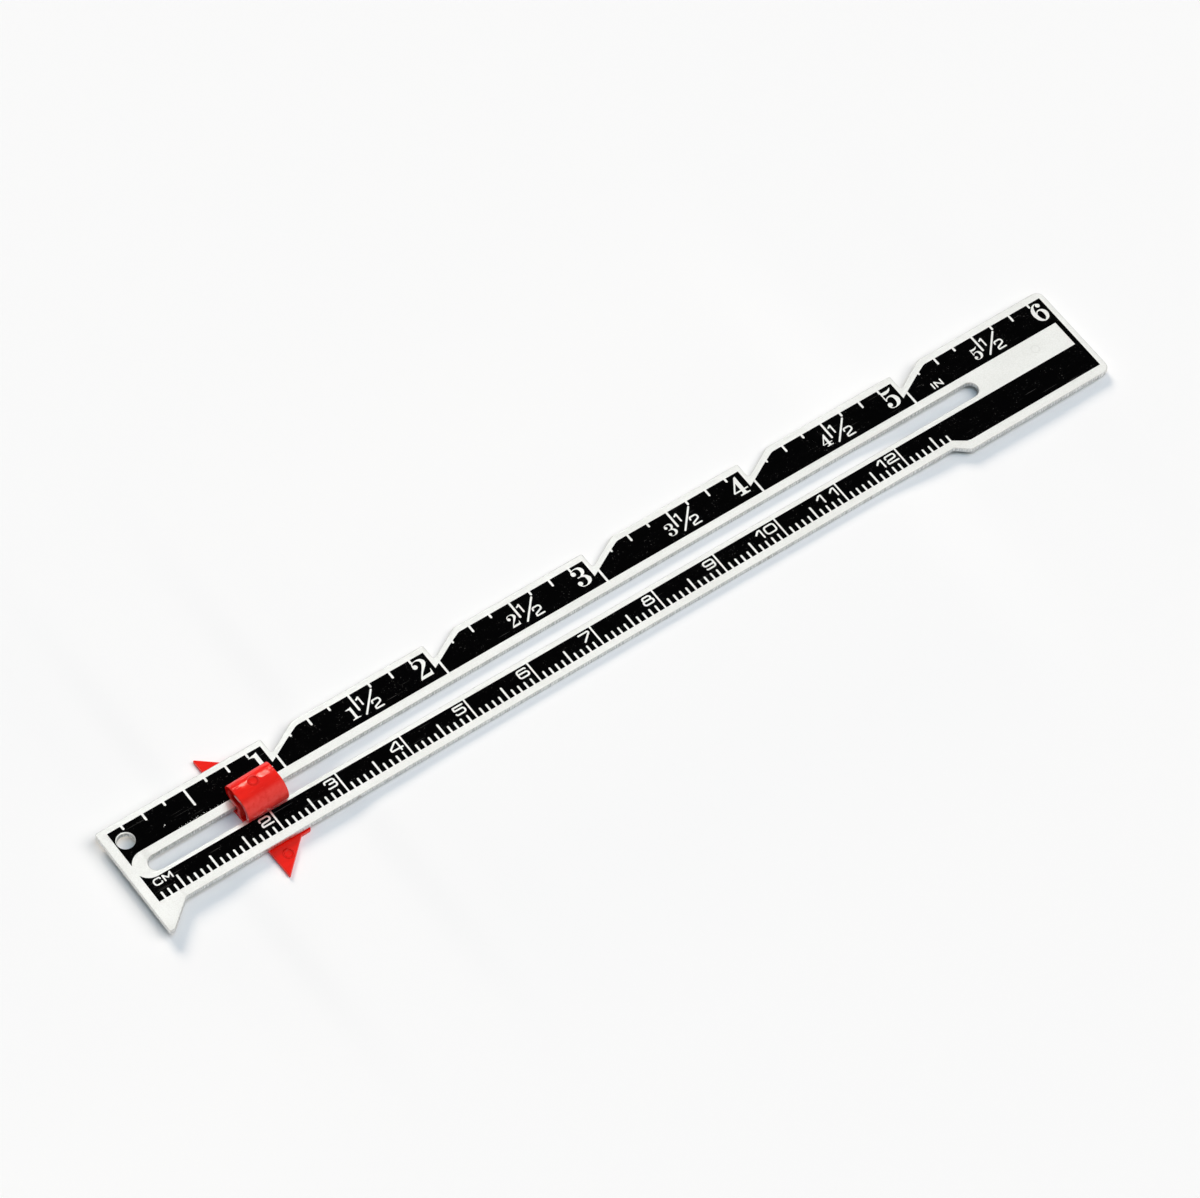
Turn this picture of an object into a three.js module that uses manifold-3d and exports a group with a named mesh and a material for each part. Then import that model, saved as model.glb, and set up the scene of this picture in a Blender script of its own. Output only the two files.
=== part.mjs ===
// Six-inch sewing and knitting gauge: a stamped aluminium rule and a red plastic marker that slides in its slot.
// The origin is the middle of the zero end's face, on the slot's centre line and half way through the sheet.
// X runs along the rule away from zero, Y points at the stepped inch edge and Z at the printed face, in millimetres.
import * as THREE from "three";
import { mergeVertices } from "three/addons/utils/BufferGeometryUtils.js";
import Module from "manifold-3d";

const wasm = await Module();
wasm.setup();

const inch = 25.4;

// Steps in each arc of a flat outline, bend, rounded edge and turned dimple
const cornerSteps = 4;
const bendSteps = 6;
const edgeSteps = 2;
const dimpleSteps = 4;
const dimpleSides = 24;
const weld = 1e-4;

// Rule blank: six inches of 1/32 in sheet, 9/16 in wide over most of its length
const ruleLength = 152.4;
const sheet = 0.79375;
const inchEdge = 7.9375;
const metricEdge = 6.35;
const deburr = 0.12;

// Flared point at the zero end
const flareDrop = 3.175;
const flareLand = 0.8;
const flareLength = 4.6;
const flareRound = 0.35;
const zeroCornerRound = 0.4;

// Wide far end
const wideStep = 1.5875;
const wideLength = 23.5;
const wideTaper = 1.9;
const shoulderRound = 0.6;
const farCornerRound = 1.2;

// Step cut into the inch edge at each whole inch
const stepDepth = 2.6;
const stepRamp = 4.7625;
const stepCrestRound = 0.3;
const stepRootRound = 0.3;
const stepRampRound = 1.2;

// Slot and hanging hole
const slotWidth = 2.38125;
const slotNearMargin = 3.175;
const slotFarMargin = 16.66875;
const hangHole = 2.4;
const hangFromEnd = 2.778125;
const hangFromEdge = 3.175;

// Clearances between the marker and the rule
const slideGap = 0.3;
const underGap = 0.15;
const saddleGap = 0.3;

// Marker: the pointer plate under the rule
const markerAt = 17;
const markerLength = 6.35;
const markerSkew = THREE.MathUtils.degToRad(1.5);
const plateOverhang = 0.3;
const plateThickness = 0.6;
const pointerLeg = 4.2;
const pointerBase = 4.75;
const pointerRound = 0.15;
const plateRound = 0.3;
const mouldRound = 0.12;

// Marker: the spring saddle over the rule
const saddleWall = 0.7;
const saddleHeight = 3.1;
const nearReach = 1.85;
const farReach = 3.5;
const nearBend = 1.55;
const heelBend = 0.35;
const stemRoot = 0.4;

// Marker: the ejector pin's dimples in the saddle's crown and the metric pointer
const dimpleRadius = 0.6;
const dimpleDepth = 0.14;
const crownDimpleAcross = 1.6;
const pointerDimpleAlong = 1.875;
const pointerDimpleOut = 1.25;

const faceUp = sheet / 2;
const plateHalf = metricEdge + plateOverhang;
const plateTop = -faceUp - underGap;
const reading = -markerLength / 2;
const steps = Math.ceil(ruleLength / inch - 0.5) - 1;

const aluminium = new THREE.MeshStandardMaterial({ color: 0xdedfda, roughness: 0.42, metalness: 0.9 });
const redPlastic = new THREE.MeshStandardMaterial({ color: 0xe2231a, roughness: 0.34, metalness: 0 });

// A closed outline through corners [x, y, radius], each turned by an arc that meets both of its sides.
function roundedOutline(corners) {
  const outline = new THREE.Shape();
  corners.forEach(([x, y, radius], i) => {
    const corner = new THREE.Vector2(x, y);
    const [bx, by] = corners.at(i - 1);
    const [ax, ay] = corners[(i + 1) % corners.length];
    const back = new THREE.Vector2(bx, by).sub(corner).normalize();
    const ahead = new THREE.Vector2(ax, ay).sub(corner).normalize();
    const half = Math.acos(THREE.MathUtils.clamp(back.dot(ahead), -1, 1)) / 2;
    const setback = radius / Math.tan(half);
    const toCentre = back.clone().add(ahead).normalize();
    const centre = corner.clone().addScaledVector(toCentre, radius / Math.sin(half));
    const from = corner.clone().addScaledVector(back, setback).sub(centre).angle();
    const to = corner.clone().addScaledVector(ahead, setback).sub(centre).angle();
    outline.absarc(centre.x, centre.y, radius, from, to, back.cross(ahead) > 0);
  });
  outline.closePath();
  return outline;
}

// A round hole in four quarter arcs.
function roundHole(x, y, radius) {
  const hole = new THREE.Path();
  for (let quarter = 0; quarter < 4; quarter++) {
    const from = (quarter * Math.PI) / 2;
    hole.absarc(x, y, radius, from, from + Math.PI / 2, false);
  }
  return hole;
}

// A slot along X with half-round ends, in quarter arcs.
function slotHole(fromX, toX, width) {
  const radius = width / 2;
  const quarter = Math.PI / 2;
  const hole = new THREE.Path();
  hole.absarc(toX - radius, 0, radius, -quarter, 0, false);
  hole.absarc(toX - radius, 0, radius, 0, quarter, false);
  hole.absarc(fromX + radius, 0, radius, quarter, 2 * quarter, false);
  hole.absarc(fromX + radius, 0, radius, 2 * quarter, 3 * quarter, false);
  return hole;
}

// An outline pushed to a thickness along Z, centred on Z = 0, with its edges rounded on both faces.
function slab(outline, thickness, edgeRound, curveSegments) {
  const geometry = new THREE.ExtrudeGeometry(outline, {
    depth: thickness - 2 * edgeRound,
    curveSegments,
    bevelThickness: edgeRound,
    bevelSize: edgeRound,
    bevelOffset: -edgeRound,
    bevelSegments: edgeSteps,
  });
  geometry.translate(0, 0, edgeRound - thickness / 2);
  return geometry;
}

// A geometry as a solid that can be joined and cut.
function solidOf(geometry) {
  geometry.deleteAttribute("normal");
  geometry.deleteAttribute("uv");
  const merged = mergeVertices(geometry, weld);
  return new wasm.Manifold(
    new wasm.Mesh({
      numProp: 3,
      vertProperties: merged.attributes.position.array,
      triVerts: new Uint32Array(merged.index.array),
    }),
  );
}

// A finished solid as a named mesh.
function meshOf(name, solid, material) {
  const { vertProperties, triVerts } = solid.getMesh();
  const indexed = new THREE.BufferGeometry();
  indexed.setAttribute("position", new THREE.BufferAttribute(vertProperties, 3));
  indexed.setIndex(new THREE.BufferAttribute(triVerts, 1));
  const geometry = indexed.toNonIndexed();
  geometry.computeVertexNormals();
  const mesh = new THREE.Mesh(geometry, material);
  mesh.name = name;
  return mesh;
}

// The blank's outline, from the flared point along the metric edge and back along the stepped inch edge.
function ruleOutline() {
  const corners = [
    [0, -metricEdge - flareDrop, flareRound],
    [flareLand, -metricEdge - flareDrop, flareRound],
    [flareLength, -metricEdge, shoulderRound],
    [ruleLength - wideLength - wideTaper, -metricEdge, shoulderRound],
    [ruleLength - wideLength, -metricEdge - wideStep, shoulderRound],
    [ruleLength, -metricEdge - wideStep, farCornerRound],
    [ruleLength, inchEdge, farCornerRound],
  ];
  for (let step = steps; step > 0; step--) {
    corners.push([step * inch + stepRamp, inchEdge, stepRampRound]);
    corners.push([step * inch, inchEdge - stepDepth, stepRootRound]);
    corners.push([step * inch, inchEdge, stepCrestRound]);
  }
  corners.push([0, inchEdge, zeroCornerRound]);
  return roundedOutline(corners);
}

function rule() {
  const outline = ruleOutline();
  outline.holes.push(slotHole(slotNearMargin, ruleLength - slotFarMargin, slotWidth));
  outline.holes.push(roundHole(hangFromEnd, inchEdge - hangFromEdge, hangHole / 2));
  return meshOf("rule", solidOf(slab(outline, sheet, deburr, cornerSteps)), aluminium);
}

// The pointer plate: a rectangle under the rule with a right-angled tip past each edge, flush with its reading side.
function pointerPlate() {
  const slopeEnd = reading + pointerBase;
  const tip = plateHalf + pointerLeg;
  const outline = roundedOutline([
    [reading, -tip, pointerRound],
    [slopeEnd, -plateHalf, plateRound],
    [markerLength / 2, -plateHalf, plateRound],
    [markerLength / 2, plateHalf, plateRound],
    [slopeEnd, plateHalf, plateRound],
    [reading, tip, pointerRound],
  ]);
  const plate = slab(outline, plateThickness, mouldRound, cornerSteps);
  plate.translate(0, 0, plateTop - plateThickness / 2);
  return solidOf(plate);
}

// The saddle is one strip: from a foot over the metric rail it arches across the slot, turns under itself
// above the inch rail and drops through the slot as the stem that holds the plate.
function saddleAndStem() {
  const crown = faceUp + saddleHeight;
  const clear = faceUp + saddleGap;
  const farBend = (crown - clear) / 2;
  const swing = (Math.sin(markerSkew) * markerLength) / 2;
  const stemFar = slotWidth / 2 - slideGap - swing;
  const nearOuter = nearBend + saddleWall;
  const near = new THREE.Vector2(nearOuter - nearReach, crown - nearOuter);
  const far = new THREE.Vector2(farReach - farBend, crown - farBend);
  const heel = new THREE.Vector2(stemFar + heelBend, clear - heelBend);
  const footTurn = Math.PI + Math.asin((near.y - clear) / nearOuter);
  const up = Math.PI / 2;
  const stemEnd = plateTop - stemRoot;
  const outline = new THREE.Shape();
  outline.absarc(near.x, near.y, nearOuter, footTurn, up, true);
  outline.absarc(far.x, far.y, farBend, up, 0, true);
  outline.absarc(far.x, far.y, farBend, 0, -up, true);
  outline.absarc(heel.x, heel.y, heelBend, up, 2 * up, false);
  outline.lineTo(stemFar, stemEnd);
  outline.lineTo(stemFar - saddleWall, stemEnd);
  outline.absarc(heel.x, heel.y, heelBend + saddleWall, 2 * up, up, true);
  outline.absarc(far.x, far.y, farBend - saddleWall, -up, 0, false);
  outline.absarc(far.x, far.y, farBend - saddleWall, 0, up, false);
  outline.absarc(near.x, near.y, nearBend, up, footTurn, false);
  outline.closePath();
  const strip = slab(outline, markerLength, mouldRound, bendSteps);
  strip.applyMatrix4(new THREE.Matrix4().makeBasis(
    new THREE.Vector3(0, 1, 0),
    new THREE.Vector3(0, 0, 1),
    new THREE.Vector3(1, 0, 0),
  ));
  return solidOf(strip);
}

// A shallow lens-shaped dimple in a face at a height.
function dimple(x, y, height) {
  const ball = (dimpleRadius ** 2 + dimpleDepth ** 2) / (2 * dimpleDepth);
  const edge = Math.asin(dimpleRadius / ball);
  const profile = new THREE.Path();
  profile.absarc(0, ball - dimpleDepth, ball, -Math.PI / 2, -Math.PI / 2 + edge, false);
  profile.lineTo(dimpleRadius, 2 * dimpleDepth);
  profile.lineTo(0, 2 * dimpleDepth);
  const cutter = new THREE.LatheGeometry(profile.getPoints(dimpleSteps), dimpleSides);
  cutter.rotateX(Math.PI / 2);
  cutter.translate(x, y, height);
  return solidOf(cutter);
}

function marker() {
  const moulding = pointerPlate()
    .add(saddleAndStem())
    .subtract(dimple(0, crownDimpleAcross, faceUp + saddleHeight))
    .subtract(dimple(reading + pointerDimpleAlong, -plateHalf - pointerDimpleOut, plateTop));
  const mesh = meshOf("slider", moulding, redPlastic);
  mesh.position.x = markerAt + markerLength / 2;
  mesh.rotation.z = markerSkew;
  return mesh;
}

const gauge = new THREE.Group();
gauge.name = "sewing_gauge";
gauge.add(rule(), marker());

export default gauge;
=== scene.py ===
"""Looks of a six-inch sewing gauge: printed scales, satin aluminium, a glossy red marker and a pale table."""

import math
import random

import bpy
from mathutils import Euler, Matrix, Vector
from mathutils.geometry import delaunay_2d_cdt


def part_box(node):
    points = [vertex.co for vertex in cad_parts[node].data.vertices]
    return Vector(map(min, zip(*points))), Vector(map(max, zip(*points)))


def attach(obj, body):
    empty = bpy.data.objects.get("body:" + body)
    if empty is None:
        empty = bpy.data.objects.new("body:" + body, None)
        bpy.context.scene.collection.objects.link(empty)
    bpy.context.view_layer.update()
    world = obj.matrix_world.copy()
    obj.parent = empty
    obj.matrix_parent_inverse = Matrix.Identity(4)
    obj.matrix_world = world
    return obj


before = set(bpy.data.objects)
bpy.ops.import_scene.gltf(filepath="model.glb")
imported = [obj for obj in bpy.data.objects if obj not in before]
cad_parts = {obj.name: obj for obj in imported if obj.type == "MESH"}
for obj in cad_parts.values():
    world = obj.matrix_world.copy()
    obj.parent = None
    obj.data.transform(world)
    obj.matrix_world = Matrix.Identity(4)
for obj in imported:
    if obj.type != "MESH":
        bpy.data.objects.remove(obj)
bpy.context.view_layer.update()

# Lengths of the print and the table are in millimetres, those of materials and the camera's place in metres
MM = 0.001
INCH = 25.4
QUARTER = math.pi / 2
TINY = 1e-9

rule_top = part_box("rule")[1].z

# Place of the print on the blank, as it came off the screen: a little along, a little askew and a little
# low in the middle of its lower half
PRINT_SHIFT = 0.3
PRINT_TURN = -0.0014
PRINT_PIVOT = 66.0
PRINT_SAG = 0.15
SAG_MIDDLE = 62.0
SAG_REACH = 25.0

# Ink film: its gap over the metal and its thickness
INK_LIFT = 0.001
INK_THICK = 0.02
FILM_WELD = 1e-5

# Borders of the black: x runs along the rule from zero, y across it from the slot's centre line
INK_LEFT = 1.04
INK_RIGHT = 151.3
INCH_TOP = 6.95
INCH_FOOT = 2.46
METRIC_TOP = -1.883
METRIC_FOOT = -5.15
WIDE_FOOT = -6.435
WIDE_TAPER = ((127.2, METRIC_FOOT), (128.85, -6.3), (129.5, WIDE_FOOT))
STEP_BORDER = ((4.8, INCH_TOP), (4.5, 6.87), (2.9, 6.1), (0.2, 4.66), (-0.97, 4.04), (-0.97, INCH_TOP))
STEP_COUNT = 5

# Bare metal round the slot and the hanging hole
BARE_END = 150.62
BARE_ARC_CENTRE = 3.05
BARE_ARC_STEPS = 16
HANG_HOLE = (2.46, 4.8)
HANG_RIM = 1.3
HANG_STEPS = 40

# Ticks: their widths, their lengths, and how far they run on past a border to cut it cleanly
INCH_TICK = 0.33
INCH_LINE = 0.34
METRIC_TICK = 0.31
METRIC_LINE = 0.27
EIGHTH = 0.68
FOURTH = 1.15
HALF = 2.78
SLANT_NOTCH = 5.86
INCH_LINE_STOP = 1.0
MM_TICK = 1.12
FIVE_MM_TICK = 2.12
OVERRUN = 0.3
LAST_INCH = 6
FIRST_MM = 2
LAST_MM = 127
FIRST_CM = 2
LAST_CM = 12

# Places, widths and strokes of the figures
SANS_STROKE = 0.27
SANS_BASE = -3.48
SANS_RIGHT = -0.57
SANS_TENS = -2.67
SANS_WIDTH = 1.46
SANS_WIDTHS = {"0": 1.5, "1": 0.8}
SERIF_LEFT = -3.6
SERIF_BASE = 3.41
FRACTION_LEFT = 10.88
FRACTION_BASE = 3.35
FRACTION_SCALE = 0.655
SMALL_STROKE = 0.26
SLASH_STROKE = 0.27
CAP_STEPS = 4

# Unit marks of the two scales: sign and place of its lower left corner
UNIT_STROKE = 0.23
UNIT_MARKS = (("C", 1.98, -3.02), ("M", 3.42, -3.02), ("I", 130.5, 2.93), ("N", 130.98, 2.93))

# Flaked chips in the ink: a worn row, two that stand alone and strays, with the ranges that they vary in
CHIP_SEED = 7
CHIP_SIDES = 6
CHIP_SQUASH = 0.8
CHIP_RAGGED = (0.6, 1.1)
CHIP_ROW = 17
CHIP_ROW_START = 9.2
CHIP_ROW_PITCH = 0.42
CHIP_ROW_LIFT = 0.16
CHIP_ROW_SLIP = (-0.1, 0.1)
CHIP_ROW_RISE = (-0.05, 0.08)
CHIP_ROW_SIZE = (0.045, 0.09)
CHIP_PAIR = ((7.85, 3.93, 0.12), (7.6, 3.8, 0.08))
CHIP_STRAYS = 26
CHIP_STRAY_ALONG = (3, 148)
CHIP_STRAY_UPPER = (3.2, 6.4)
CHIP_STRAY_LOWER = (-3.6, -2.1)
CHIP_STRAY_SIZE = (0.015, 0.035)
CHIP_UPPER_SHARE = 0.6


# Geometry of flat strokes

CORNER_SHARE = 0.49
MITRE_LIMIT = 0.5
JOIN_STEPS = 12


def arc(cx, cy, radius, start, end, steps):
    """Points on a circle from one angle to another, both included."""
    turn = (end - start) / steps
    return [(cx + radius * math.cos(start + turn * i), cy + radius * math.sin(start + turn * i))
            for i in range(steps + 1)]


def corner_arc(before, here, after, radius, steps):
    """An arc that rounds the corner at here, held back where a side is too short for its radius."""
    back = before - here
    ahead = after - here
    half = back.angle(ahead) / 2
    reach = min(radius / math.tan(half), CORNER_SHARE * back.length, CORNER_SHARE * ahead.length)
    radius = reach * math.tan(half)
    middle = here + (back.normalized() + ahead.normalized()).normalized() * radius / math.sin(half)
    first = here + back.normalized() * reach - middle
    last = here + ahead.normalized() * reach - middle
    start = math.atan2(first.y, first.x)
    sweep = math.atan2(first.x * last.y - first.y * last.x, first.dot(last))
    return arc(middle.x, middle.y, radius, start, start + sweep, steps)


def rounded(corners, closed=False, steps=6):
    """A path through corners (x, y, radius), each turned by an arc; a radius of 0 stays sharp."""
    path = []
    count = len(corners)
    for i, (x, y, radius) in enumerate(corners):
        is_end = not closed and i in (0, count - 1)
        if is_end or radius == 0:
            path.append((x, y))
            continue
        before = Vector(corners[i - 1][:2])
        after = Vector(corners[(i + 1) % count][:2])
        path += corner_arc(before, Vector((x, y)), after, radius, steps)
    if closed:
        path.append(path[0])
    return path


def curve(knots, steps=5):
    """A smooth path of (x, y, width) through knots (x, y, width)."""
    path = []
    last = len(knots) - 1
    for i in range(last):
        a, b, c, d = (Vector(knots[min(max(i + k, 0), last)]) for k in (-1, 0, 1, 2))
        for s in range(steps):
            t = s / steps
            p = 0.5 * (2 * b + (c - a) * t + (2 * a - 5 * b + 4 * c - d) * t**2
                       + (3 * b - a - 3 * c + d) * t**3)
            path.append(tuple(p))
    path.append(tuple(knots[-1]))
    return path


def convex(quad):
    turns = [(quad[i] - quad[i - 1]).cross(quad[(i + 1) % 4] - quad[i]) for i in range(4)]
    return all(t > TINY for t in turns) or all(t < -TINY for t in turns)


def quad_about(a, b, side_a, side_b):
    return [a + side_a, a - side_a, b - side_b, b + side_b]


def mitres(points, widths, along):
    """From each point of a path, half a width to its left, along the line that halves the turn there."""
    last = len(points) - 1
    closed = (points[0] - points[-1]).length < TINY
    sides = []
    for i in range(last + 1):
        into = along[-1] if closed and i == 0 else along[max(i - 1, 0)]
        away = along[0] if closed and i == last else along[min(i, last - 1)]
        middle = (into + away).normalized()
        sides.append(Vector((-middle.y, middle.x)) * widths[i] / 2 / max(middle.dot(into), MITRE_LIMIT))
    return sides


def ribbon(path, width=None, cap=0):
    """A stroke along a path as a run of closed quads; cap adds round ends, each an arc of that many steps."""
    points = [Vector(p[:2]) for p in path]
    widths = [width if width else p[2] for p in path]
    along = [(b - a).normalized() for a, b in zip(points, points[1:])]
    sides = mitres(points, widths, along)
    polygons = []
    for i, (a, b) in enumerate(zip(points, points[1:])):
        quad = quad_about(a, b, sides[i], sides[i + 1])
        if not convex(quad):
            across = Vector((-along[i].y, along[i].x)) / 2
            quad = quad_about(a, b, across * widths[i], across * widths[i + 1])
            polygons.append(disc(b.x, b.y, widths[i + 1] / 2, JOIN_STEPS))
        polygons.append(quad)
    if cap and (points[0] - points[-1]).length >= TINY:
        for end, out, wide in ((points[0], -along[0], widths[0]), (points[-1], along[-1], widths[-1])):
            angle = math.atan2(out.y, out.x)
            polygons.append(vectors(arc(end.x, end.y, wide / 2, angle - QUARTER, angle + QUARTER, cap)))
    return polygons


def vectors(points):
    return [Vector(p) for p in points]


def disc(x, y, radius, steps=20):
    return vectors(arc(x, y, radius, 0, 2 * math.pi * (steps - 1) / steps, steps - 1))


def box(x0, x1, y0, y1):
    return vectors(((x0, y0), (x1, y0), (x1, y1), (x0, y1)))


def placed(polygons, x, y, scale=1.0):
    return [[Vector((x + p.x * scale, y + p.y * scale)) for p in polygon] for polygon in polygons]


# Figures of the metric scale: wide square figures drawn with one even stroke

SANS = {
    "0": [((0, 0, 0.36), (1.52, 0, 0.36), (1.52, 1.2, 0.36), (0, 1.2, 0.36))],
    "1": [((0, 0.74, 0), (0.46, 1.16, 0.1), (0.8, 1.2, 0.04), (0.8, -0.08, 0))],
    "2": [((0, 0.84, 0), (0.04, 1.2, 0.3), (1.44, 1.2, 0.3), (1.44, 0.58, 0.26),
           (0.02, 0.46, 0.26), (0.02, 0, 0.04), (1.58, 0, 0))],
    "3": [((0, 0.88, 0), (0.05, 1.2, 0.28), (1.42, 1.2, 0.28), (1.42, 0.62, 0.22), (0.55, 0.62, 0)),
          ((0.55, 0.62, 0), (1.46, 0.62, 0.22), (1.46, 0, 0.3), (0.2, 0, 0.1), (0.13, 0.06, 0))],
    "4": [((1.22, -0.2, 0), (1.22, 1.2, 0.06), (0.95, 1.2, 0.12), (-0.05, 0.48, 0.16),
           (-0.05, 0.14, 0.05), (1.58, 0.14, 0))],
    "5": [((1.5, 1.2, 0), (0.04, 1.2, 0.05), (0.02, 0.72, 0.05), (1.42, 0.72, 0.28),
           (1.42, 0, 0.3), (0.06, 0, 0.12), (0.0, 0.18, 0))],
    "6": [((1.38, 1.1, 0), (1.33, 1.2, 0.1), (0, 1.2, 0.34), (0, 0, 0.3), (1.46, 0, 0.3),
           (1.46, 0.66, 0.28), (0, 0.66, 0))],
    "7": [((-0.04, 1.2, 0), (1.44, 1.2, 0.1), (1.44, 0.96, 0.2), (0.25, -0.06, 0))],
    "8": [((0.14, 0.64, 0.24), (1.32, 0.64, 0.24), (1.32, 1.2, 0.28), (0.14, 1.2, 0.28)),
          ((0, 0, 0.3), (1.46, 0, 0.3), (1.46, 0.64, 0.26), (0, 0.64, 0.26))],
    "9": [((0, 0.54, 0.28), (1.46, 0.54, 0.28), (1.46, 1.2, 0.3), (0, 1.2, 0.3)),
          ((1.46, 0.9, 0), (1.46, 0, 0.34), (0.15, 0, 0.1), (0.08, 0.08, 0))],
    "C": [((1.02, 0.68, 0), (0.98, 0.9, 0.2), (0, 0.9, 0.36), (0, 0, 0.36), (0.98, 0, 0.2), (1.02, 0.22, 0))],
    "M": [((0, 0, 0), (0, 0.9, 0.01), (0.55, 0.24, 0.01), (1.1, 0.9, 0.01), (1.1, 0, 0))],
    "I": [((0, 0, 0), (0, 0.9, 0))],
    "N": [((0, 0, 0), (0, 0.9, 0.01), (0.95, 0, 0.01), (0.95, 0.9, 0))],
}
CLOSED_STROKES = {"0": (0,), "8": (0, 1), "9": (0,)}


def sans(sign, x, y, stroke=SANS_STROKE):
    polygons = []
    for i, corners in enumerate(SANS[sign]):
        closed = i in CLOSED_STROKES.get(sign, ())
        polygons += ribbon(rounded(corners, closed), stroke, CAP_STEPS)
    return placed(polygons, x, y)


# Figures of the inch scale: fat serif figures of swelling strokes, ball ends and slabs

def serif_one():
    stem = [(1.05, 0.1), (1.65, 0.1), (1.65, 3.12), (1.42, 3.02), (1.05, 2.9)]
    flag = [(1.1, 2.96), (0.75, 2.88), (0.28, 2.84), (0.28, 2.68), (0.8, 2.6), (1.06, 2.46)]
    slab = [(0.42, 0), (2.28, 0), (2.28, 0.2), (1.8, 0.27), (1.62, 0.42), (1.08, 0.42), (0.9, 0.27),
            (0.42, 0.2)]
    return [vectors(stem), vectors(flag), vectors(slab)]


def serif_two():
    swell = curve(((0.22, 2.3, 0.16), (0.42, 2.84, 0.17), (1.0, 3.02, 0.15), (1.58, 2.84, 0.42),
                   (1.8, 2.38, 0.62), (1.62, 1.92, 0.5), (1.2, 1.42, 0.34), (0.7, 0.86, 0.22),
                   (0.2, 0.16, 0.2)))
    foot = [(0.02, 0.03), (2.02, 0.03), (2.1, 1.0), (2.0, 1.0), (1.92, 0.68), (1.76, 0.53), (0.6, 0.5),
            (0.3, 0.3)]
    return ribbon(swell) + [disc(0.5, 2.2, 0.36), vectors(foot)]


def serif_three():
    upper = curve(((0.16, 2.5, 0.16), (0.42, 2.9, 0.17), (1.0, 3.04, 0.15), (1.52, 2.86, 0.4),
                   (1.72, 2.4, 0.58), (1.56, 1.92, 0.42), (1.1, 1.64, 0.16)))
    lower = curve(((1.1, 1.6, 0.16), (1.6, 1.4, 0.4), (1.82, 0.82, 0.64), (1.56, 0.3, 0.42),
                   (1.02, 0.08, 0.15), (0.5, 0.18, 0.16), (0.16, 0.6, 0.16)))
    bar = box(0.58, 1.35, 1.53, 1.71)
    return ribbon(upper) + ribbon(lower) + [disc(0.45, 2.42, 0.35), disc(0.4, 0.72, 0.35), bar]


def serif_four():
    stem = [(1.16, 0.1), (1.74, 0.1), (1.78, 3.12), (1.5, 3.04), (1.16, 2.5)]
    slope = ribbon(((1.6, 2.98), (0.16, 0.84)), 0.24)
    bar = box(0.06, 2.3, 0.7, 0.94)
    slab = box(0.7, 2.22, 0.02, 0.25)
    bracket = [(0.98, 0.22), (1.92, 0.22), (1.74, 0.4), (1.16, 0.4)]
    return slope + [vectors(stem), bar, slab, vectors(bracket)]


def serif_five():
    stem = box(0.38, 0.56, 1.42, 3.02)
    flag = [(0.4, 3.02), (0.75, 2.95), (1.55, 2.94), (2.06, 3.14), (2.1, 3.08), (1.86, 2.74), (1.5, 2.51),
            (1.0, 2.43), (0.5, 2.52)]
    bowl = curve(((0.44, 1.46, 0.14), (0.74, 1.82, 0.18), (1.22, 1.94, 0.24), (1.7, 1.72, 0.5),
                  (1.9, 1.1, 0.66), (1.68, 0.42, 0.5), (1.08, 0.1, 0.16), (0.5, 0.2, 0.16),
                  (0.2, 0.62, 0.16)))
    return ribbon(bowl) + [disc(0.52, 0.75, 0.36), stem, vectors(flag)]


def serif_six():
    back = curve(((1.7, 2.84, 0.16), (1.3, 3.06, 0.15), (0.82, 2.84, 0.3), (0.42, 2.2, 0.56),
                  (0.32, 1.45, 0.62), (0.52, 0.6, 0.5), (1.05, 0.1, 0.17)))
    bowl = curve(((0.6, 1.5, 0.12), (0.84, 1.84, 0.18), (1.26, 1.94, 0.24), (1.66, 1.66, 0.5),
                  (1.8, 1.08, 0.62), (1.58, 0.42, 0.45), (1.05, 0.1, 0.17)))
    return ribbon(back) + ribbon(bowl) + [disc(1.55, 2.68, 0.34)]


SERIF = (serif_one, serif_two, serif_three, serif_four, serif_five, serif_six)

# Strokes of the small half beside each fraction's figure
HALF_ONE = ((2.3, 2.47, 0), (2.52, 2.57, 0.06), (2.69, 2.74, 0.02), (2.69, 1.42, 0))
HALF_TWO = ((3.78, 0.84, 0), (3.86, 1.22, 0.26), (4.9, 1.22, 0.34), (4.9, 0.62, 0.3),
            (3.82, 0.2, 0.14), (3.78, -0.14, 0.03), (4.92, -0.14, 0))
HALF_SLASH = ((2.25, -0.12), (4.78, 2.72))


# The print: what is black, and the marks left bare in it

def ink_outline():
    outline = [(INK_LEFT, METRIC_FOOT), *WIDE_TAPER, (INK_RIGHT, WIDE_FOOT), (INK_RIGHT, INCH_TOP)]
    for step in range(STEP_COUNT, 0, -1):
        outline += [(step * INCH + x, y) for x, y in STEP_BORDER]
    outline.append((INK_LEFT, INCH_TOP))
    return vectors(outline)


def bare_band():
    """The bare metal along the slot, round at the zero end and square at the other."""
    middle = (INCH_FOOT + METRIC_TOP) / 2
    end = arc(BARE_ARC_CENTRE, middle, (INCH_FOOT - METRIC_TOP) / 2, QUARTER, 3 * QUARTER, BARE_ARC_STEPS)
    return vectors(end + [(BARE_END, METRIC_TOP), (BARE_END, INCH_FOOT)])


def tick(x, y0, y1, width):
    return ribbon(((x, y0), (x, y1)), width, CAP_STEPS)


def inch_ticks():
    marks = []
    for eighth in range(1, LAST_INCH * 8):
        x = eighth * INCH / 8
        place = eighth % 8
        if place == 0:
            marks.append(box(x - INCH_LINE / 2, x + INCH_LINE / 2,
                             INCH_FOOT - OVERRUN, INCH_TOP - INCH_LINE_STOP))
            continue
        length = HALF if place == 4 else FOURTH if place % 2 == 0 else EIGHTH
        foot = SLANT_NOTCH if place == 1 and eighth > 8 else INCH_TOP - length
        marks += tick(x, INCH_TOP + OVERRUN, foot + INCH_TICK / 2, INCH_TICK)
    return marks


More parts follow.
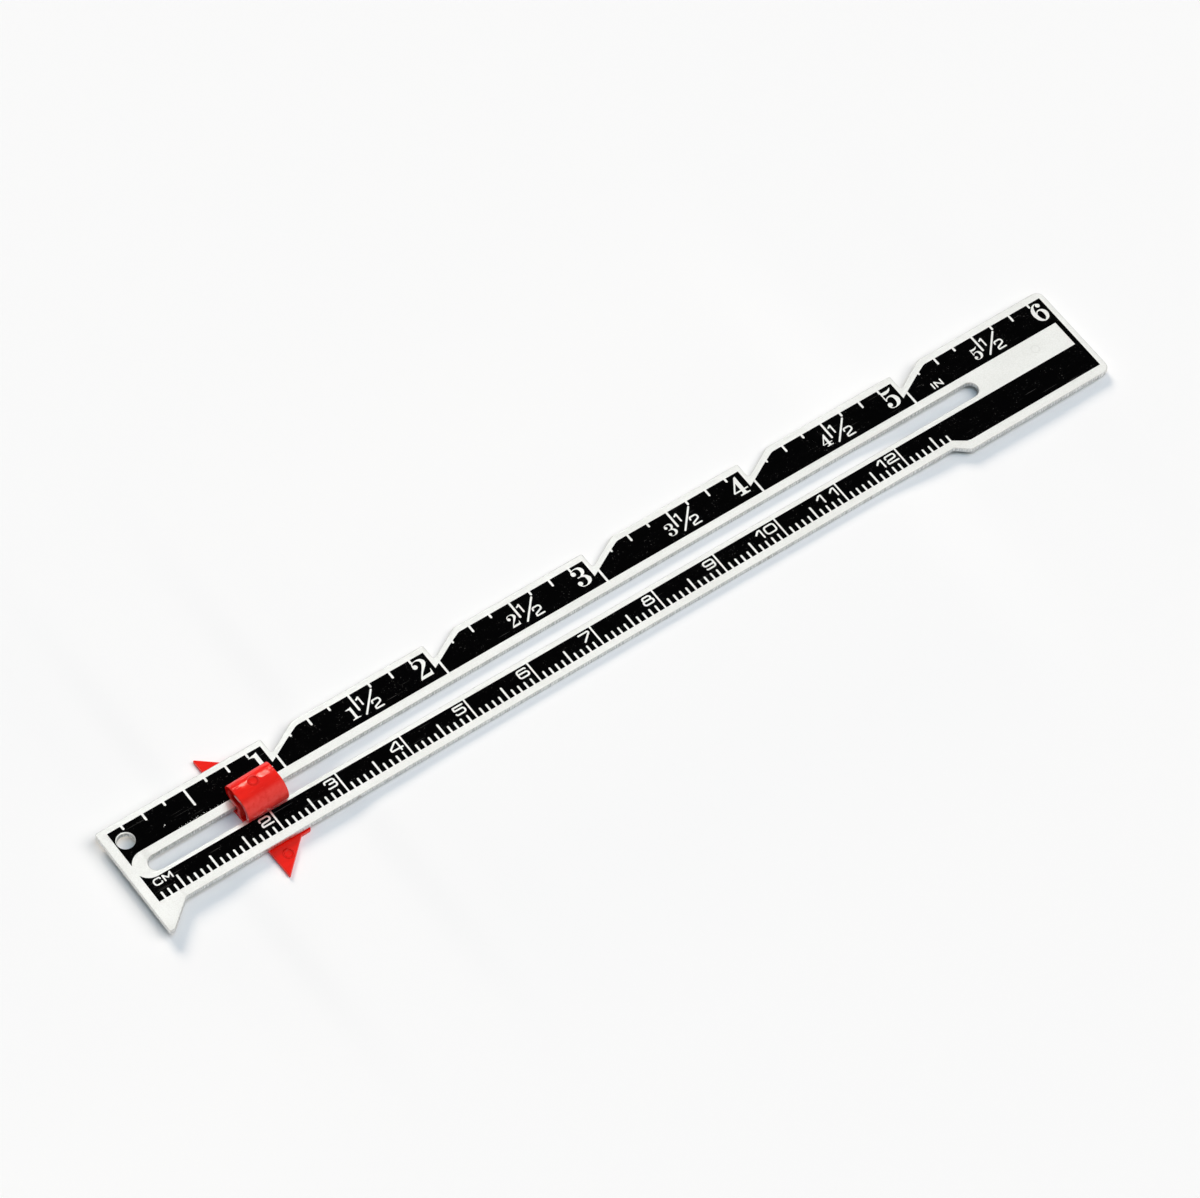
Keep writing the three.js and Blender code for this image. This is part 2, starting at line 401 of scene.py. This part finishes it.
def metric_ticks():
    marks = []
    for mm in range(FIRST_MM, LAST_MM + 1):
        if mm % 10 == 0 and mm >= 10 * FIRST_CM:
            marks.append(box(mm - METRIC_LINE / 2, mm + METRIC_LINE / 2,
                             METRIC_FOOT - OVERRUN, METRIC_TOP + OVERRUN))
            continue
        length = FIVE_MM_TICK if mm % 5 == 0 else MM_TICK
        marks += tick(mm, METRIC_FOOT - OVERRUN, METRIC_FOOT + length - METRIC_TICK / 2, METRIC_TICK)
    return marks


def metric_figures():
    marks = []
    for cm in range(FIRST_CM, LAST_CM + 1):
        sign = str(cm)[-1]
        marks += sans(sign, 10 * cm + SANS_RIGHT - SANS_WIDTHS.get(sign, SANS_WIDTH), SANS_BASE)
        if cm > 9:
            marks += sans("1", 10 * cm + SANS_TENS - SANS_WIDTHS["1"], SANS_BASE)
    return marks


def small_half():
    one, two = [ribbon(rounded(corners), SMALL_STROKE, CAP_STEPS) for corners in (HALF_ONE, HALF_TWO)]
    return one + two + ribbon(HALF_SLASH, SLASH_STROKE, CAP_STEPS)


def inch_figures():
    marks = []
    for inch in range(1, LAST_INCH + 1):
        marks += placed(SERIF[inch - 1](), inch * INCH + SERIF_LEFT, SERIF_BASE)
    for inch in range(1, LAST_INCH):
        left = inch * INCH + FRACTION_LEFT
        marks += placed(SERIF[inch - 1](), left, FRACTION_BASE, FRACTION_SCALE)
        marks += placed(small_half(), left, FRACTION_BASE)
    return marks


def unit_marks():
    marks = []
    for sign, x, y in UNIT_MARKS:
        marks += sans(sign, x, y, UNIT_STROKE)
    return marks


def chip(draw, x, y, size):
    turn = draw.uniform(0, QUARTER)
    corners = []
    for i in range(CHIP_SIDES):
        reach = size * draw.uniform(*CHIP_RAGGED)
        angle = turn + i * 2 * math.pi / CHIP_SIDES
        corners.append(Vector((x + reach * math.cos(angle), y + reach * math.sin(angle) * CHIP_SQUASH)))
    return corners


def chips():
    """Small chips where the ink has flaked: a row rubbed through on the first inch's lower border and a few
    strays.
    """
    draw = random.Random(CHIP_SEED)
    marks = []
    for i in range(CHIP_ROW):
        x = CHIP_ROW_START + i * CHIP_ROW_PITCH + draw.uniform(*CHIP_ROW_SLIP)
        y = INCH_FOOT + CHIP_ROW_LIFT + draw.uniform(*CHIP_ROW_RISE)
        marks.append(chip(draw, x, y, draw.uniform(*CHIP_ROW_SIZE)))
    for x, y, size in CHIP_PAIR:
        marks.append(chip(draw, x, y, size))
    for _ in range(CHIP_STRAYS):
        across = CHIP_STRAY_UPPER if draw.random() < CHIP_UPPER_SHARE else CHIP_STRAY_LOWER
        x = draw.uniform(*CHIP_STRAY_ALONG)
        y = draw.uniform(*across)
        marks.append(chip(draw, x, y, draw.uniform(*CHIP_STRAY_SIZE)))
    return marks


def on_rule(point):
    """A point of the print in the rule's own frame, in metres."""
    away = point.x - PRINT_PIVOT
    x = PRINT_SHIFT + PRINT_PIVOT + away * math.cos(PRINT_TURN) - point.y * math.sin(PRINT_TURN)
    y = away * math.sin(PRINT_TURN) + point.y * math.cos(PRINT_TURN)
    lower = min(max((INCH_FOOT - point.y) / (INCH_FOOT - METRIC_TOP), 0), 1)
    y -= PRINT_SAG * lower * math.exp(-((point.x - SAG_MIDDLE) / SAG_REACH) ** 2)
    return x * MM, y * MM


def left_turning(polygon):
    area = sum(a.x * b.y - a.y * b.x for a, b in zip(polygon, polygon[1:] + polygon[:1]))
    return polygon if area > 0 else polygon[::-1]


def cut_out(solid, marks):
    """Points and triangles of the solid polygon less the marks."""
    points = []
    faces = []
    for polygon in [solid] + marks:
        faces.append(list(range(len(points), len(points) + len(polygon))))
        points += left_turning(polygon)
    verts, _, tris, _, _, sources = delaunay_2d_cdt(points, [], faces, 1, FILM_WELD)
    kept = [tri for tri, source in zip(tris, sources) if 0 in source and len(source) == 1]
    used = sorted({i for tri in kept for i in tri})
    number = {old: new for new, old in enumerate(used)}
    return [verts[i] for i in used], [tuple(number[i] for i in tri) for tri in kept]


def film(name, solid, marks, low, high):
    """A thin closed film: the solid polygon less the marks, between two heights in metres."""
    points, top = cut_out(solid, marks)
    count = len(points)
    flat = [on_rule(point) for point in points]
    edges = {(tri[k], tri[k - 2]) for tri in top for k in range(3)}
    walls = [(b, a, a + count, b + count) for a, b in edges if (b, a) not in edges]
    under = [tuple(i + count for i in reversed(tri)) for tri in top]
    mesh = bpy.data.meshes.new(name)
    corners = [(x, y, high) for x, y in flat] + [(x, y, low) for x, y in flat]
    mesh.from_pydata(corners, [], top + under + sorted(walls))
    mesh.validate()
    return in_scene(name, mesh)


def in_scene(name, data):
    piece = bpy.data.objects.new(name, data)
    bpy.context.scene.collection.objects.link(piece)
    return piece


# Node trees

BEVEL_SAMPLES = 6
EDGE_TURN = (0.995, 0.85)


class Nodes:
    """Short calls that add and join the nodes of one tree."""

    def __init__(self, tree):
        self.tree = tree

    def put(self, socket, value):
        """Joins a socket to another one, or sets it to a plain value."""
        if isinstance(value, bpy.types.NodeSocket):
            self.tree.links.new(value, socket)
        else:
            socket.default_value = value

    def node(self, kind, *values, **named):
        """A new node whose sockets get values in their order, or by name."""
        made = self.tree.nodes.new(kind)
        for key, value in [*enumerate(values), *named.items()]:
            self.put(made.inputs[key], value)
        return made

    def math(self, operation, *values):
        made = self.node("ShaderNodeMath", *values)
        made.operation = operation
        return made.outputs[0]

    def times(self, a, b):
        return self.math("MULTIPLY", a, b)

    def plus(self, a, b):
        return self.math("ADD", a, b)

    def larger(self, a, b):
        return self.math("MAXIMUM", a, b)

    def spread(self, value, low, high, out_low=0.0, out_high=1.0):
        """The value's range from low to high, laid evenly over the range from out_low to out_high."""
        return self.node("ShaderNodeMapRange", value, low, high, out_low, out_high)

    def ramp(self, *values):
        """A spread that starts and ends softly."""
        made = self.spread(*values)
        made.interpolation_type = "SMOOTHSTEP"
        return made.outputs[0]

    def axis(self, vector, letter):
        return self.node("ShaderNodeSeparateXYZ", vector).outputs[letter]


class Shader(Nodes):
    """A material with short calls for the patterns that the surfaces share; its lengths are in metres."""

    def __init__(self, name):
        self.material = bpy.data.materials.new(name)
        self.material.use_nodes = True
        super().__init__(self.material.node_tree)
        self.surface = self.tree.nodes["Principled BSDF"]
        self.place = self.node("ShaderNodeTexCoord")

    def noise(self, cells, detail, roughness=0.55, turn=0.0):
        """Noise with so many cells per metre along x, y and z, turned about z."""
        place = self.node("ShaderNodeMapping", Vector=self.place.outputs["Object"], Scale=cells,
                          Rotation=(0, 0, turn))
        made = self.node("ShaderNodeTexNoise", Vector=place.outputs[0], Scale=1.0, Detail=detail,
                         Roughness=roughness)
        return made.outputs["Fac"]

    def blend(self, share, a, b):
        made = self.node("ShaderNodeMix")
        made.data_type = "RGBA"
        made.clamp_factor = True
        for index, value in ((0, share), (6, a), (7, b)):
            self.put(made.inputs[index], value)
        return made.outputs[2]

    def bump(self, height, distance, strength, **under):
        made = self.node("ShaderNodeBump", Height=height, Distance=distance, Strength=strength, **under)
        return made.outputs[0]

    def facing_up(self):
        """How far the surface faces up or down, from 0 on the edges to 1 on the flat faces."""
        return self.math("ABSOLUTE", self.axis(self.place.outputs["Normal"], "Z"))

    def edge_wear(self, reach):
        """Where the surface lies within reach of an edge, from 0 to 1."""
        soft = self.node("ShaderNodeBevel", Radius=reach)
        soft.samples = BEVEL_SAMPLES
        true = self.node("ShaderNodeNewGeometry")
        alike = self.node("ShaderNodeVectorMath", soft.outputs[0], true.outputs["True Normal"])
        alike.operation = "DOT_PRODUCT"
        return self.ramp(alike.outputs["Value"], *EDGE_TURN)

    def ring(self, middle, radius, width):
        """A soft ring round a point, from 0 beside it to 1 on it."""
        away = self.node("ShaderNodeVectorMath", self.place.outputs["Object"], middle)
        away.operation = "DISTANCE"
        inside = self.ramp(away.outputs["Value"], radius - width, radius)
        return self.times(inside, self.ramp(away.outputs["Value"], radius + width, radius))

    def finish(self, **values):
        for key, value in values.items():
            self.put(self.surface.inputs[key.replace("_", " ")], value)
        return self.material


# A noise is held as its cells per metre along x, y and z, its detail and, where it isn't the usual, its
# roughness. A span says where a pattern starts and where it is full and, with four numbers, its low and high.

# Satin aluminium

CLOUDS = ((90, 140, 140), 3)
GRAIN = ((5200, 8200, 8200), 4, 0.7)
ROLLED = ((260, 9000, 9000), 2)
SHEARED = ((6500, 6500, 500), 3, 0.65)
CHATTER = ((700, 700, 900), 3)
NICKS = ((2300, 2900, 2900), 2)
SIDE_SPAN = (0.45, 0.2)
RIM_SPAN = (0.9, 0.995)
TONE_SPAN = (0.36, 0.64)
SHEARED_SPAN = (0.3, 0.7)
STAIN_SPAN = (0.62, 0.75, 0, 0.5)
NICK_SPAN = (0.44, 0.62)
# Dark marks along the edges: partly burr nicks, partly painted shade along the edges
NICK_AND_SHADE_REACH = 0.00025
NICK_AND_SHADE_SHARE = 0.85
CLOUD_TONE = 0.35
GRAIN_TONE = 0.65
METAL_DULL = (0.848, 0.854, 0.812, 1)
METAL_BRIGHT = (0.962, 0.968, 0.936, 1)
# Sheared sides, painted darker than the faces: partly their duller sheared finish, partly painted shade
SHEARED_DARK = (0.5, 0.495, 0.475, 1)
SHEARED_PALE = (0.9, 0.89, 0.86, 1)
STAIN = (0.16, 0.09, 0.05, 1)
# Painted shade: a grey line along the rims
RIM_PAINTED_SHADE = (0.7, 0.7, 0.68, 1)
PUNCHED = (0.5, 0.5, 0.45, 1)
NICKED_AND_SHADED = (0.34, 0.33, 0.3, 1)
PUNCH_MARK = (0.14596, 0.00039, 0.0004)
PUNCH_RADIUS = 0.00057
PUNCH_WIDTH = 0.0002
PUNCH_SHARE = 0.14
PUNCH_DEPTH = 0.000008
PUNCH_STRENGTH = 0.5
GRAIN_HEIGHT = 0.7
ROLLED_HEIGHT = 0.3
METAL_RELIEF = 0.0000012
METAL_STRENGTH = 0.8
METAL_ROUGH_SPAN = (0.3, 0.7, 0.3, 0.38)
SHEARED_ROUGHER = 0.12


def satin_aluminium():
    """Rolled sheet with a fine satin grain and soft mottling; sheared sides painted darker, partly a duller
    finish and partly painted shade; a painted shade line round the rims; dark spots along the edges, partly
    burr nicks and partly painted shade.
    """
    s = Shader("satin_aluminium")
    up = s.facing_up()
    side = s.ramp(up, *SIDE_SPAN)
    grain = s.noise(*GRAIN)
    tone = s.plus(s.times(s.noise(*CLOUDS), CLOUD_TONE), s.times(grain, GRAIN_TONE))
    face = s.blend(s.ramp(tone, *TONE_SPAN), METAL_DULL, METAL_BRIGHT)
    # The sheared sides are painted darker: partly a duller finish, partly painted shade
    edge = s.blend(s.ramp(s.noise(*SHEARED), *SHEARED_SPAN), SHEARED_DARK, SHEARED_PALE)
    stained = s.blend(s.ramp(s.noise(*CHATTER), *STAIN_SPAN), edge, STAIN)
    # Dark spots along the edges, partly burr nicks and partly painted shade
    nicks_and_edge_shade = s.times(s.edge_wear(NICK_AND_SHADE_REACH), s.ramp(s.noise(*NICKS), *NICK_SPAN))
    # Painted shade: the rims, where the faces turn, are painted grey as a thin shade line
    rim = s.blend(s.ramp(up, *RIM_SPAN), RIM_PAINTED_SHADE, face)
    ring = s.ring(PUNCH_MARK, PUNCH_RADIUS, PUNCH_WIDTH)
    marked = s.blend(s.times(ring, PUNCH_SHARE), rim, PUNCHED)
    painted_edges = s.blend(s.times(nicks_and_edge_shade, NICK_AND_SHADE_SHARE), marked, NICKED_AND_SHADED)
    rough = s.plus(s.ramp(grain, *METAL_ROUGH_SPAN), s.times(side, SHEARED_ROUGHER))
    height = s.plus(s.times(grain, GRAIN_HEIGHT), s.times(s.noise(*ROLLED), ROLLED_HEIGHT))
    rolled = s.bump(height, METAL_RELIEF, METAL_STRENGTH)
    relief = s.bump(ring, PUNCH_DEPTH, PUNCH_STRENGTH, Normal=rolled)
    return s.finish(Base_Color=s.blend(side, painted_edges, stained), Metallic=1.0, Roughness=rough, Normal=relief)


# Black ink

PATCHES = ((500, 700, 700), 4)
DUST = ((4200, 4200, 4200), 2, 0.8)
HAIRLINES = ((120, 7000, 7000), 1)
# Each set of hairlines: its turn about z, and the noise that says where it shows
HAIRLINE_SETS = ((0.55, ((130, 160, 160), 2)), (-0.35, ((133, 160, 160), 2)))
DUST_SPAN = (0.64, 0.7)
DUSTY_SPAN = (0.44, 0.58)
HAIRLINE_SPAN = (0.7, 0.74)
SCRATCHED_SPAN = (0.54, 0.64)
DUST_SHARE = 0.5
HAIRLINE_SHARE = 0.6
INK_BLACK = (0.0005, 0.0005, 0.0006, 1)
INK_SCRATCHED = (0.12, 0.115, 0.11, 1)
INK_ROUGH_SPAN = (0.35, 0.7, 0.2, 0.42)
PATCH_HEIGHT = 0.4
INK_RELIEF = 0.000003
INK_STRENGTH = 0.5
INK_IOR = 1.055


def black_ink():
    """Screen ink: jet black and smooth, with dust specks, hairline scratches and slightly rough patches."""
    s = Shader("black_ink")
    patches = s.noise(*PATCHES)
    specks = s.times(s.ramp(s.noise(*DUST), *DUST_SPAN), s.ramp(patches, *DUSTY_SPAN))
    first, second = [s.times(s.ramp(s.noise(*HAIRLINES, turn=turn), *HAIRLINE_SPAN),
                             s.ramp(s.noise(*shown, turn=turn), *SCRATCHED_SPAN))
                     for turn, shown in HAIRLINE_SETS]
    pale = s.larger(s.times(specks, DUST_SHARE), s.times(s.larger(first, second), HAIRLINE_SHARE))
    relief = s.bump(s.plus(specks, s.times(patches, PATCH_HEIGHT)), INK_RELIEF, INK_STRENGTH)
    return s.finish(Base_Color=s.blend(pale, INK_BLACK, INK_SCRATCHED),
                    Roughness=s.ramp(patches, *INK_ROUGH_SPAN), Normal=relief, IOR=INK_IOR)


# Red plastic, with the ejector pins' rings and the doming of the saddle's crown

FLOW = ((260, 900, 900), 3)
PEEL = ((1500, 1500, 1500), 2)
SCUFF = ((500, 6000, 6000), 2)
SCUFF_TURN = 0.3
RED_SPAN = (0.3, 0.7)
# Painted sheen: the near face is painted paler, broken up by the orange peel
NEAR_SPAN = (-0.2, -0.6)
SHEEN_SPAN = (0.2, 0.6, 0.55, 1.0)
SCUFF_SPAN = (0.66, 0.74, 0, 0.25)
RED_DEEP = (0.76, 0.004, 0.002, 1)
RED_BRIGHT = (0.87, 0.008, 0.003, 1)
RED_PAINTED_SHEEN = (0.98, 0.062, 0.05, 1)
RED_SCUFFED = (0.9, 0.12, 0.09, 1)
# Painted highlight along the plastic's edges
RED_EDGE_HIGHLIGHT = (0.95, 0.22, 0.16, 1)
RED_GLOSS = (1.0, 0.4, 0.32, 1)
RED_ROUGH_SPAN = (0.3, 0.7, 0.05, 0.09)
SCUFF_ROUGH_SPAN = (0.6, 0.75, 0, 0.15)
RED_HIGHLIGHT_REACH = 0.00012
RED_HIGHLIGHT_SHARE = 0.55
PEEL_HEIGHT = 0.6
FLOW_HEIGHT = 0.8
PLASTIC_RELIEF = 0.00002
PLASTIC_STRENGTH = 0.7
PIN_MARKS = ((0.020133, 0.0016, 0.0035), (0.019082, -0.007931, -0.00055))
PIN_RADIUS = 0.00066
PIN_WIDTH = 0.00018
PIN_RELIEF = 0.00012
CROWN_MIDDLE = 0.00108
CROWN_REACH = 0.0011
CROWN_DOME = 0.00009
CROWN_LEAN = 0.093
GLOW_RADIUS = (1.0, 0.05, 0.03)
GLOW_SCALE = 0.0008
GLOW_WEIGHT = 0.25


def crown_dome(s):
    """The slight doming of the saddle's crown across the rule, a little askew, as a height in metres."""
    lean = s.math("MULTIPLY_ADD", s.axis(s.place.outputs["Object"], "X"), CROWN_LEAN,
                  -CROWN_MIDDLE - CROWN_LEAN * PIN_MARKS[0][0])
    across = s.math("DIVIDE", s.plus(s.axis(s.place.outputs["Object"], "Y"), lean), CROWN_REACH)
    return s.times(s.math("EXPONENT", s.times(s.times(across, across), -1.0)), CROWN_DOME)


def red_plastic():
    """Glossy moulded plastic: a deep red with flow lines and orange peel, a painted sheen that makes the near
    face paler and a painted highlight along the edges.
    """
    s = Shader("red_plastic")
    flow = s.noise(*FLOW)
    peel = s.noise(*PEEL)
    scuff = s.noise(*SCUFF, turn=SCUFF_TURN)
    colour = s.blend(s.ramp(flow, *RED_SPAN), RED_DEEP, RED_BRIGHT)
    # Painted sheen: the faces turned towards -Y are painted paler
    near = s.ramp(s.axis(s.place.outputs["Normal"], "Y"), *NEAR_SPAN)
    near_sheen = s.blend(s.times(near, s.ramp(peel, *SHEEN_SPAN)), colour, RED_PAINTED_SHEEN)
    scuffed = s.blend(s.ramp(scuff, *SCUFF_SPAN), near_sheen, RED_SCUFFED)
    # Painted highlight: a paler line painted along the edges
    painted_edges = s.blend(s.times(s.edge_wear(RED_HIGHLIGHT_REACH), RED_HIGHLIGHT_SHARE), scuffed, RED_EDGE_HIGHLIGHT)
    rough = s.plus(s.ramp(peel, *RED_ROUGH_SPAN), s.ramp(scuff, *SCUFF_ROUGH_SPAN))
    height = s.plus(s.times(peel, PEEL_HEIGHT), s.times(flow, FLOW_HEIGHT))
    first, second = [s.ring(middle, PIN_RADIUS, PIN_WIDTH) for middle in PIN_MARKS]
    domed = s.bump(crown_dome(s), 1.0, 1.0)
    pinned = s.bump(s.larger(first, second), PIN_RELIEF, 1.0, Normal=domed)
    relief = s.bump(height, PLASTIC_RELIEF, PLASTIC_STRENGTH, Normal=pinned)
    return s.finish(Base_Color=painted_edges, Roughness=rough, Normal=relief, Specular_Tint=RED_GLOSS,
                    Subsurface_Weight=GLOW_WEIGHT, Subsurface_Radius=GLOW_RADIUS, Subsurface_Scale=GLOW_SCALE)


# Table top

TABLE_COLOUR = (0.944, 0.944, 0.944, 1)


def table_top():
    s = Shader("table_top")
    return s.finish(Base_Color=TABLE_COLOUR, Roughness=1.0, Specular_IOR_Level=0.0)


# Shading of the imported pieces: an edge that turns by fewer degrees than its node's sharp angle is smooth

RULE_SHARP = 50
SLIDER_SHARP = 24
WELD = 1e-7
FLAT_WEIGHT = 90


def dress(node, material, sharp):
    """Puts a material on a CAD node and shades its gentle bends smooth, leaving its mesh as packed."""
    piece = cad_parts[node]
    piece.data.materials.clear()
    piece.data.materials.append(material)
    piece.modifiers.new("smooth_bends", "NODES").node_group = smooth_bends(node + "_bends", sharp)
    flats = piece.modifiers.new("flat_faces_stay_flat", "WEIGHTED_NORMAL")
    flats.keep_sharp = True
    flats.weight = FLAT_WEIGHT


def smooth_bends(name, sharp):
    """Welds the facets and shades every edge that turns by less than the sharp angle smooth."""
    group = bpy.data.node_groups.new(name, "GeometryNodeTree")
    for way in ("INPUT", "OUTPUT"):
        group.interface.new_socket("Geometry", in_out=way, socket_type="NodeSocketGeometry")
    n = Nodes(group)
    enter = n.node("NodeGroupInput")
    weld = n.node("GeometryNodeMergeByDistance", Geometry=enter.outputs[0], Distance=WELD)
    faces = n.node("GeometryNodeSetShadeSmooth", Geometry=weld.outputs[0])
    angle = n.node("GeometryNodeInputMeshEdgeAngle")
    gentle = n.node("FunctionNodeCompare", angle.outputs["Unsigned Angle"], math.radians(sharp))
    gentle.operation = "LESS_THAN"
    edges = n.node("GeometryNodeSetShadeSmooth", Geometry=faces.outputs[0])
    edges.domain = "EDGE"
    n.put(edges.inputs["Shade Smooth"], gentle.outputs[0])
    n.node("NodeGroupOutput", edges.outputs[0])
    return group


# Table: its height over the rule's middle plane from left to right. It lies at the marker's sole where the
# marker stands at rest and at the far end of its travel.

SOLE = -1.15
TABLE_REACH = 4000.0
TABLE_LINE = ((-30, -1.85), (0, -1.75), (9, -1.55), (14.5, SOLE), (28.0, SOLE), (34, -0.76), (46, -0.57),
              (60, -0.5), (113, -0.5), (126.5, SOLE), (141, SOLE), (150, -1.0), (170, -1.0))
TABLE_STEPS = 6
# How much of that line the table keeps at a distance to either side of the rule
TABLE_FADE = ((0, 1), (18, 1), (26, 0.85), (34, 0.5), (44, 0.15), (56, 0), (TABLE_REACH, 0))


def table_line():
    line = [(-TABLE_REACH, TABLE_LINE[0][1])]
    for (x0, z0), (x1, z1) in zip(TABLE_LINE, TABLE_LINE[1:]):
        for step in range(TABLE_STEPS):
            t = step / TABLE_STEPS
            line.append((x0 + (x1 - x0) * t, z0 + (z1 - z0) * t * t * (3 - 2 * t)))
    return line + [TABLE_LINE[-1], (TABLE_REACH, TABLE_LINE[-1][1])]


def table():
    """A pale table, lower under the zero end, higher under the rule's middle and level beside the rule."""
    line = table_line()
    rows = [(-y, share) for y, share in TABLE_FADE[:0:-1]] + list(TABLE_FADE)
    corners = [(x * MM, y * MM, (SOLE + (z - SOLE) * share) * MM) for x, z in line for y, share in rows]
    count = len(rows)
    faces = [(i * count + k, (i + 1) * count + k, (i + 1) * count + k + 1, i * count + k + 1)
             for i in range(len(line) - 1) for k in range(count - 1)]
    mesh = bpy.data.meshes.new("table")
    mesh.from_pydata(corners, [], faces)
    mesh.shade_smooth()
    mesh.materials.append(table_top())
    in_scene("table", mesh)


# Lamps: name, bearing from +X, height over the table and spread in degrees, strength, colour, and whether
# gloss shows it

LAMPS = (
    ("front", 262, 75, 24, 0.488, (0.75, 1.0, 1.23), False),
    ("right", 322, 52, 44, 1.467, (1.06, 1.0, 0.95), False),
    ("back", 84, 37, 26, 1.72, (1.16, 1.0, 0.84), False),
    ("key", 62.4, 51, 2.4, 0.034, (1.0, 1.0, 1.0), True),
    ("rim", 70, 10, 8, 0.07, (1.0, 1.0, 1.0), True),
)


def sun(name, bearing, height, spread, strength, colour, glossy):
    lamp = bpy.data.lights.new(name, "SUN")
    lamp.energy = strength
    lamp.color = colour
    lamp.angle = math.radians(spread)
    around, up = math.radians(bearing), math.radians(height)
    towards = Vector((math.cos(around) * math.cos(up), math.sin(around) * math.cos(up), math.sin(up)))
    holder = in_scene(name, lamp)
    holder.rotation_mode = "QUATERNION"
    holder.rotation_quaternion = towards.to_track_quat("Z", "Y")
    holder.visible_glossy = glossy


# Sky: its light, the background that the camera sees, and what gloss shows from low to overhead

SKY_FOCUS = 2.0
SKY_LEVEL = 0.3
SKY_TINT = (0.75, 1.0, 1.23, 1)
BACKGROUND = (0.947, 0.947, 0.947, 1)
MIRRORED_HEIGHTS = (0.55, 0.88)
MIRRORED_LEVELS = (0.8, 0.92)


def sky():
    """A soft sky, brightest overhead, for the light, and a pale background for the camera and for gloss."""
    world = bpy.data.worlds.new("studio")
    bpy.context.scene.world = world
    world.use_nodes = True
    world.node_tree.nodes.clear()
    n = Nodes(world.node_tree)
    height = n.axis(n.node("ShaderNodeTexCoord").outputs["Generated"], "Z")
    overhead = n.math("POWER", n.spread(height, 0, 1).outputs[0], SKY_FOCUS)
    soft = n.node("ShaderNodeBackground", SKY_TINT, n.times(overhead, SKY_LEVEL))
    seen = n.node("ShaderNodeBackground", BACKGROUND)
    level = n.spread(height, *MIRRORED_HEIGHTS, *MIRRORED_LEVELS).outputs[0]
    mirrored = n.node("ShaderNodeBackground", level)
    rays = n.node("ShaderNodeLightPath").outputs
    gloss = n.larger(rays["Is Glossy Ray"], rays["Is Transmission Ray"])
    unseen = n.node("ShaderNodeMixShader", gloss, soft.outputs[0], mirrored.outputs[0])
    both = n.node("ShaderNodeMixShader", rays["Is Camera Ray"], unseen.outputs[0], seen.outputs[0])
    n.node("ShaderNodeOutputWorld", both.outputs[0])


# Camera: its place in metres and its turn about x, y and z in degrees

CAMERA_PLACE = (-0.20716, -0.35469, 0.67558)
CAMERA_TURN = (33.829, -1.77, -35.708)
SENSOR_MM = 36.0
LENS_MM = 186.73
CLIP_NEAR = 0.01
CLIP_FAR = 50.0


def camera():
    data = bpy.data.cameras.new("camera")
    data.sensor_width = SENSOR_MM
    data.lens = LENS_MM
    data.clip_start = CLIP_NEAR
    data.clip_end = CLIP_FAR
    holder = in_scene("camera", data)
    turn = Euler([math.radians(angle) for angle in CAMERA_TURN])
    holder.matrix_world = Matrix.LocRotScale(Vector(CAMERA_PLACE), turn, None)
    bpy.context.scene.camera = holder


camera()
sky()
for lamp in LAMPS:
    sun(*lamp)
table()

marks = [bare_band(), disc(*HANG_HOLE, HANG_RIM, HANG_STEPS)]
marks += inch_ticks() + metric_ticks() + metric_figures() + inch_figures() + unit_marks() + chips()
low = rule_top + INK_LIFT * MM
ink = film("scale_ink", ink_outline(), marks, low, low + INK_THICK * MM)
ink.data.materials.append(black_ink())
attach(ink, "rule")

dress("rule", satin_aluminium(), RULE_SHARP)
dress("slider", red_plastic(), SLIDER_SHARP)

scene = bpy.context.scene
scene.view_settings.view_transform = "Standard"
